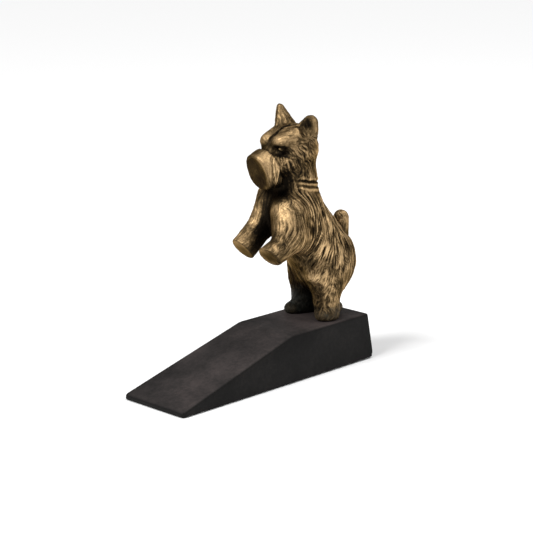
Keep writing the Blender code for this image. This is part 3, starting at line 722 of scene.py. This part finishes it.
def bronze():
    material, tree, shader = new_material("antique_bronze", 1.0, 0.4)
    air = spread(tree, attribute(tree, "open_air"), 0.3, 1.0, WEAR_SHELTERED, WEAR_OPEN)
    grain = spread(tree, noise(tree, 1100, 5, 0.8), 0.3, 0.7, -WEAR_BY_GRAIN, WEAR_BY_GRAIN)
    wear_and_painted_light = maths(tree, "MULTIPLY", attribute(tree, "relief"), WEAR_BY_RELIEF)
    wear_and_painted_light = maths(tree, "ADD", wear_and_painted_light, air)
    wear_and_painted_light = maths(tree, "ADD", wear_and_painted_light, maths(tree, "MULTIPLY", attribute(tree, "mottle"), WEAR_BY_MOTTLE))
    wear_and_painted_light = maths(tree, "ADD", wear_and_painted_light, grain)
    # adds the painted highlights and painted shade
    wear_and_painted_light = maths(tree, "ADD", wear_and_painted_light, attribute(tree, "painted_light"))
    wear_and_painted_light = maths(tree, "ADD", wear_and_painted_light, WEAR_AT_REST, clamp=True)
    # black soot on the feet and painted shade on the far hind leg
    soot_and_shade = attribute(tree, "soot_and_shade")
    colour = mixed(tree, soot_and_shade, ramp(tree, wear_and_painted_light, PATINA), ramp(tree, noise(tree, 260, 3), SOOT_AND_SHADE))
    tree.links.new(colour, shader.inputs["Base Color"])
    bare = spread(tree, wear_and_painted_light, 0.1, 0.5, 0.90, 1.0)
    metal = maths(tree, "MULTIPLY", bare, maths(tree, "SUBTRACT", 1.0, soot_and_shade))
    tree.links.new(metal, shader.inputs["Metallic"])
    tree.links.new(spread(tree, wear_and_painted_light, 0.15, 0.9, 0.52, 0.48), shader.inputs["Roughness"])
    shader.inputs["Specular IOR Level"].default_value = 0.2
    shader.inputs["Specular Tint"].default_value = (0.60, 0.50, 0.38, 1)
    bump(tree, shader, noise(tree, 1000, 6, 0.75), 0.8, 0.00028)
    return material


def iron():
    material, tree, shader = new_material("black_painted_iron", 0.0, 0.5)
    cloud = noise(tree, 34, 4)
    speck = noise(tree, 420, 5, 0.7)
    tone = maths(tree, "ADD", maths(tree, "MULTIPLY", cloud, 0.6), maths(tree, "MULTIPLY", speck, 0.4))
    # painted light: the faces that look up are painted lighter, and the flat top lighter still where the dog
    # shades it
    upward = parts_of(tree, "ShaderNodeNewGeometry", "Normal")["Z"]
    top_light = maths(
        tree, "MULTIPLY", spread(tree, upward, 0.5, 0.95, 0.0, 1.0), spread(tree, cloud, 0.3, 0.7, 0.55, 1.0)
    )
    along = parts_of(tree, "ShaderNodeTexCoord", "Object")["Y"]
    top_light_tone = maths(tree, "ADD", tone, spread(tree, along, 0.015, 0.035, 0.0, 0.10))
    colour = mixed(tree, top_light, ramp(tree, tone, PAINT), ramp(tree, top_light_tone, TOP_LIGHT))
    tree.links.new(colour, shader.inputs["Base Color"])
    tree.links.new(spread(tree, tone, 0.3, 0.7, 0.64, 0.46), shader.inputs["Roughness"])
    shader.inputs["Specular IOR Level"].default_value = 0.09
    bump(tree, shader, noise(tree, 700, 6, 0.7), 0.35, 0.00025)
    return material


def rubber():
    material, tree, shader = new_material("black_rubber", 0.0, 0.85)
    tree.links.new(ramp(tree, noise(tree, 300, 4), RUBBER), shader.inputs["Base Color"])
    bump(tree, shader, noise(tree, 1500, 3), 0.3, 0.0002)
    return material


def steel():
    material, tree, shader = new_material("zinc_steel", 1.0, 0.35)
    tone = noise(tree, 600, 4)
    tree.links.new(ramp(tree, tone, ZINC), shader.inputs["Base Color"])
    tree.links.new(spread(tree, tone, 0.3, 0.7, 0.28, 0.45), shader.inputs["Roughness"])
    return material


def set_material(thing, material):
    thing.data.materials.clear()
    thing.data.materials.append(material)


# The dog

# Painted highlights, an eye's glint among them: places, each with its reach in mm and how much lighter it is
# painted
PAINTED_HIGHLIGHTS = (
    # face and ears
    ((3.6, -38.7, 116.5), 5, 0.22), ((-8.3, -37, 116.5), 5, 0.28), ((2.4, -47, 103.5), 5, 0.30),
    ((7, -42, 97), 8, 0.15), ((6.4, -39.3, 110.2), 1.3, 0.32), ((16, -17, 124), 4, 0.30),
    # shoulders and forelegs
    ((14, -44, 67), 8, 0.06), ((7, -43, 75), 6, 0.12), ((18, -20, 82), 7, 0.10), ((11, -60, 55), 5, 0.25),
    ((-14, -53, 57), 6, 0.30), ((-10.5, -43, 63.5), 4, 0.62), ((-11.5, -39.5, 70), 4, 0.34),
    # knee and tail
    ((14, -15, 27), 7, 0.30), ((0, 24, 58), 9, 0.25),
)
# Painted shade: places, each with its reach in mm and how much darker it is painted
PAINTED_SHADE = (
    # face and throat
    ((15, -24, 103), 10, -0.19), ((-8, -43, 107), 5, -0.14), ((10, -32, 98), 8, -0.16),
    ((12, -34, 88), 6, -0.10), ((0, -38, 86), 12, -0.34), ((6.5, -39, 108.5), 4.5, -0.16),
    ((10, -36, 108), 4, -0.12), ((-12, -33, 109), 4, -0.15), ((0, -33, 97), 9, -0.25),
    ((10.6, -18.6, 123.0), 3.2, -0.42),
    # chest, and between and under the forelegs
    ((-4, -44, 66), 9, -0.35), ((17, -21, 60), 8, -0.10), ((-4, -38, 60), 7, -0.65),
    ((-5, -44, 53), 6, -0.40), ((-4, -34, 69), 6, -0.50), ((-12, -54, 45), 7, -0.24),
    ((14, -56, 47), 6, -0.10), ((14, -48, 57), 8, -0.12),
    # belly, flank and hind legs
    ((0, -30, 40), 14, -0.22), ((18, 8, 45), 16, -0.11), ((12, 24, 38), 12, -0.06), ((18, 2, 20), 17, -0.09),
    ((-8, -4, 22), 14, -0.50), ((-5, -2, 10), 12, -0.30),
)
# The sunk flat of the muzzle is painted with shade inside a painted highlight on its rim: its middle and
# size, and its slope
FLAT_MIDDLE, FLAT_HALF, FLAT_SLOPE = (-1.9, 0.2), (9.6, 10.3), 0.29
RIM_HIGHLIGHT, FLAT_SHADE = 0.08, 0.29
# Painted shade in the furrow and the collar's grooves, painted highlights on the collar's ridges
FURROW_SHADE, RIDGE_HIGHLIGHT, GROOVE_SHADE = 0.08, 0.26, 0.30
# Black soot on the hind feet, and on the far one painted shade higher up the leg; for the far one and the
# near one: its top in mm, how it fades and how dense it is
SOOT_AND_SHADE_TOP, SOOT_AND_SHADE_FADE, SOOT_AND_SHADE_DENSITY = (18.0, 9.5), (9.0, 4.5), (0.9, 0.72)
SOOT_AND_SHADE_BY_MOTTLE = 4


def beside(distance, softness):
    """1 where the distance is nought or less, falling to 0 outwards."""
    return np.exp(-np.clip(distance, 0, 9) ** 2 / softness)


def painted_light_of(bare):
    """How much lighter or darker than elsewhere each place of the dog is painted: painted highlights and
    painted shade.
    """
    painted_light = np.zeros(len(bare), F)
    for middle, reach, gain in PAINTED_HIGHLIGHTS + PAINTED_SHADE:
        painted_light += gain * np.exp(-((bare - vec(middle)) ** 2).sum(1) / reach ** 2)
    turned_in = (bare - HEAD) @ turned(*FACE_TURN)
    face = turned_in - vec(MUZZLE_FACE)
    from_middle = np.hypot(
        (face[:, 0] - FLAT_MIDDLE[0]) / FLAT_HALF[0],
        (face[:, 2] - FLAT_MIDDLE[1]) / FLAT_HALF[1],
    )
    on_flat = np.clip(1 - np.abs(face[:, 1] + face[:, 2] * FLAT_SLOPE) / 3, 0, 1)
    # painted highlight on the muzzle's rim, painted shade on its sunk flat
    painted_light += on_flat * (RIM_HIGHLIGHT - FLAT_SHADE * np.clip((1.04 - from_middle) / 0.14, 0, 1))
    # painted shade along the furrow
    for start, end, r0, r1 in FURROW:
        painted_light -= FURROW_SHADE * beside(limb(turned_in, start, end, r0, r1), 0.5)
    # painted highlights on the collar's ridges, painted shade in its grooves
    for ridge in COLLAR_RIDGES:
        painted_light += RIDGE_HIGHLIGHT * beside(collar_ring(bare, *ridge), 0.1)
    for groove in COLLAR_GROOVES:
        painted_light -= GROOVE_SHADE * beside(collar_ring(bare, *groove, GROOVE_WAVE), 0.1)
    return painted_light


# Black soot on the hind feet, reaching higher on the far leg as painted shade
def soot_and_shade_of(bare, mottle):
    on_far_side = bare[:, 0] < 0
    top, fade, density = [np.where(on_far_side, *pair) for pair in (SOOT_AND_SHADE_TOP, SOOT_AND_SHADE_FADE, SOOT_AND_SHADE_DENSITY)]
    return density * np.clip((top + mottle * SOOT_AND_SHADE_BY_MOTTLE - bare[:, 2]) / fade, 0, 1)


bare, points, faces, values = figure_mesh()
# painted highlights and painted shade, kept on the dog's points
values["painted_light"] = painted_light_of(bare)
values["soot_and_shade"] = soot_and_shade_of(bare, values["mottle"])
dog = new_object("bronze_dog", points * MM + FIGURE_AT, faces)
for name, data in values.items():
    layer = dog.data.attributes.new(name, "FLOAT", "POINT")
    layer.data.foreach_set("value", np.asarray(data, np.float32))
thin_out(dog, MOST_TRIANGLES)
set_material(dog, bronze())
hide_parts("dog_figure")
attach(dog, "root")

# The wedge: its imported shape, with the corners of the thin end and the lower back edge cast rounder

WEDGE_HALF, SIDE_LEAN = 0.02525, 0.09      # half the width at the bottom, and how far a side leans in
WEDGE_END, BACK_LEAN = 0.0825, 0.11
WEDGE_LOW = 0.0005
CORNER, PACKED_CORNER = 0.0026, 0.0014     # radius here and as packed
HEEL, PACKED_HEEL = 0.0044, 0.0006
CUTS = (0.10, 0.33, 0.59, 0.80, 1.0)       # where the faces are divided, along the new radius
SHARPEST = math.radians(28)                # a sharper edge isn't shaded smoothly
MERGE = 1e-6


def rounder(a, b, new, old):
    """Depths a and b behind two faces, moved so that the edge between them has the new radius."""
    x, y = np.maximum(new - a, 0), np.maximum(new - b, 0)
    reach = np.hypot(x, y) + 1e-12
    more, less = np.maximum(x, y) / reach, np.minimum(x, y) / reach
    core = new - old
    along = core * (more + less)
    bend = along + np.sqrt(np.maximum(along ** 2 - 2 * core ** 2 + old ** 2, 0))
    wall = np.where(new * less > core * more, bend, new / more.clip(1e-6))
    scale = np.where((x > 0) & (y > 0), new / wall, 1)
    return np.where(x > 0, new - x * scale, a), np.where(y > 0, new - y * scale, b)


def soft_wedge():
    """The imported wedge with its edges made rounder."""
    edit = bmesh.new()
    edit.from_mesh(NODES["wedge_base"].data)
    bmesh.ops.remove_doubles(edit, verts=edit.verts[:], dist=MERGE)
    planes = []
    for t in CUTS:
        for side in (1, -1):
            planes.append(((side * (WEDGE_HALF - t * CORNER), 0, WEDGE_LOW), (side, 0, SIDE_LEAN)))
        planes.append(((0, WEDGE_END - t * CORNER, WEDGE_LOW), (0, 1, BACK_LEAN)))
        planes.append(((0, t * CORNER - WEDGE_END, 0), (0, -1, 0)))
        planes.append(((0, 0, WEDGE_LOW + t * HEEL), (0, 0, 1)))
    for at, normal in planes:
        whole = edit.verts[:] + edit.edges[:] + edit.faces[:]
        bmesh.ops.bisect_plane(edit, geom=whole, dist=MERGE, plane_co=at, plane_no=normal)
    x, y, z = np.array([v.co for v in edit.verts]).T
    rise = z - WEDGE_LOW
    side = WEDGE_HALF - SIDE_LEAN * rise - np.abs(x)
    back = WEDGE_END - BACK_LEAN * rise - y
    side, tip = rounder(side, y + WEDGE_END, CORNER, PACKED_CORNER)
    x = np.sign(x) * (WEDGE_HALF - SIDE_LEAN * rise - side)
    y = np.where(y < 0, tip - WEDGE_END, WEDGE_END - BACK_LEAN * rise - back)
    back, rise = rounder(back, rise, HEEL, PACKED_HEEL)
    y = np.where(y < 0, y, WEDGE_END - BACK_LEAN * rise - back)
    z = WEDGE_LOW + rise
    for vertex, spot in zip(edit.verts, zip(x, y, z)):
        vertex.co = spot
    mesh = bpy.data.meshes.new("painted_wedge")
    edit.to_mesh(mesh)
    edit.free()
    mesh.polygons.foreach_set("use_smooth", np.full(len(mesh.polygons), True))
    mesh.set_sharp_from_angle(angle=SHARPEST)
    made = bpy.data.objects.new("painted_wedge", mesh)
    bpy.context.scene.collection.objects.link(made)
    return made


iron_paint = iron()
wedge = soft_wedge()
set_material(wedge, iron_paint)
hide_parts("wedge_base")
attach(wedge, "root")

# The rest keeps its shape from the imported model

set_material(NODES["grip_pad"], rubber())
steel_finish = steel()
for name, thing in NODES.items():
    if "screw" in name or "washer" in name:
        set_material(thing, steel_finish)

# Floor, lights and camera

FLOOR_HALF = 40              # metres, so that no low view sees its edge
WORLD_LIGHT = 0.30

floor_mesh = bmesh.new()
bmesh.ops.create_grid(floor_mesh, x_segments=8, y_segments=8, size=FLOOR_HALF)
floor_data = bpy.data.meshes.new("floor")
floor_mesh.to_mesh(floor_data)
floor_mesh.free()
floor = bpy.data.objects.new("floor", floor_data)
bpy.context.scene.collection.objects.link(floor)
set_material(floor, new_material("pale_floor", 0.0, 0.9, (0.94, 0.94, 0.94))[0])

world = bpy.data.worlds.new("studio")
bpy.context.scene.world = world
world.use_nodes = True
world.node_tree.nodes["Background"].inputs["Color"].default_value = (1.0, 1.0, 1.0, 1)
world.node_tree.nodes["Background"].inputs["Strength"].default_value = WORLD_LIGHT


def softbox(name, at, aim, width, height, power):
    light = bpy.data.lights.new(name, "AREA")
    light.shape = "RECTANGLE"
    light.size, light.size_y = width, height
    light.energy = power
    thing = bpy.data.objects.new(name, light)
    thing.location = at
    thing.rotation_euler = (Vector(aim) - Vector(at)).to_track_quat("-Z", "Y").to_euler()
    bpy.context.scene.collection.objects.link(thing)


TARGET = (0, 0.02, 0.08)
key = bpy.data.lights.new("key", "SUN")
key.energy = 3.1
key.angle = math.radians(26)
key_object = bpy.data.objects.new("key", key)
key_object.rotation_euler = Vector((-0.15, -0.82, 0.87)).to_track_quat("Z", "Y").to_euler()
bpy.context.scene.collection.objects.link(key_object)
softbox("top", (0.25, 0.25, 1.1), TARGET, 0.6, 0.6, 6)
softbox("side", (1.0, 0.0, 0.7), TARGET, 0.3, 0.5, 2.0)

# The camera was fitted to the wedge's corners in the photograph
IMAGE_WIDTH, FOCAL_PIXELS = 533, 1732.95
AIM = Vector((0.020313, -0.009823, 0.075))

camera_data = bpy.data.cameras.new("camera")
camera = bpy.data.objects.new("camera", camera_data)
bpy.context.scene.collection.objects.link(camera)
bpy.context.scene.camera = camera
AZIMUTH, ELEVATION, DISTANCE = math.radians(44.206), math.radians(14.259), 1.0139
back = Vector((
    math.sin(AZIMUTH) * math.cos(ELEVATION), -math.cos(AZIMUTH) * math.cos(ELEVATION), math.sin(ELEVATION)
))
camera.location = AIM + back * DISTANCE
camera.rotation_euler = back.to_track_quat("Z", "Y").to_euler()
camera_data.sensor_width = 36
camera_data.lens = FOCAL_PIXELS * camera_data.sensor_width / IMAGE_WIDTH
camera_data.clip_start = 0.05

bpy.context.scene.view_settings.view_transform = "Standard"

bpy.context.view_layer.update()
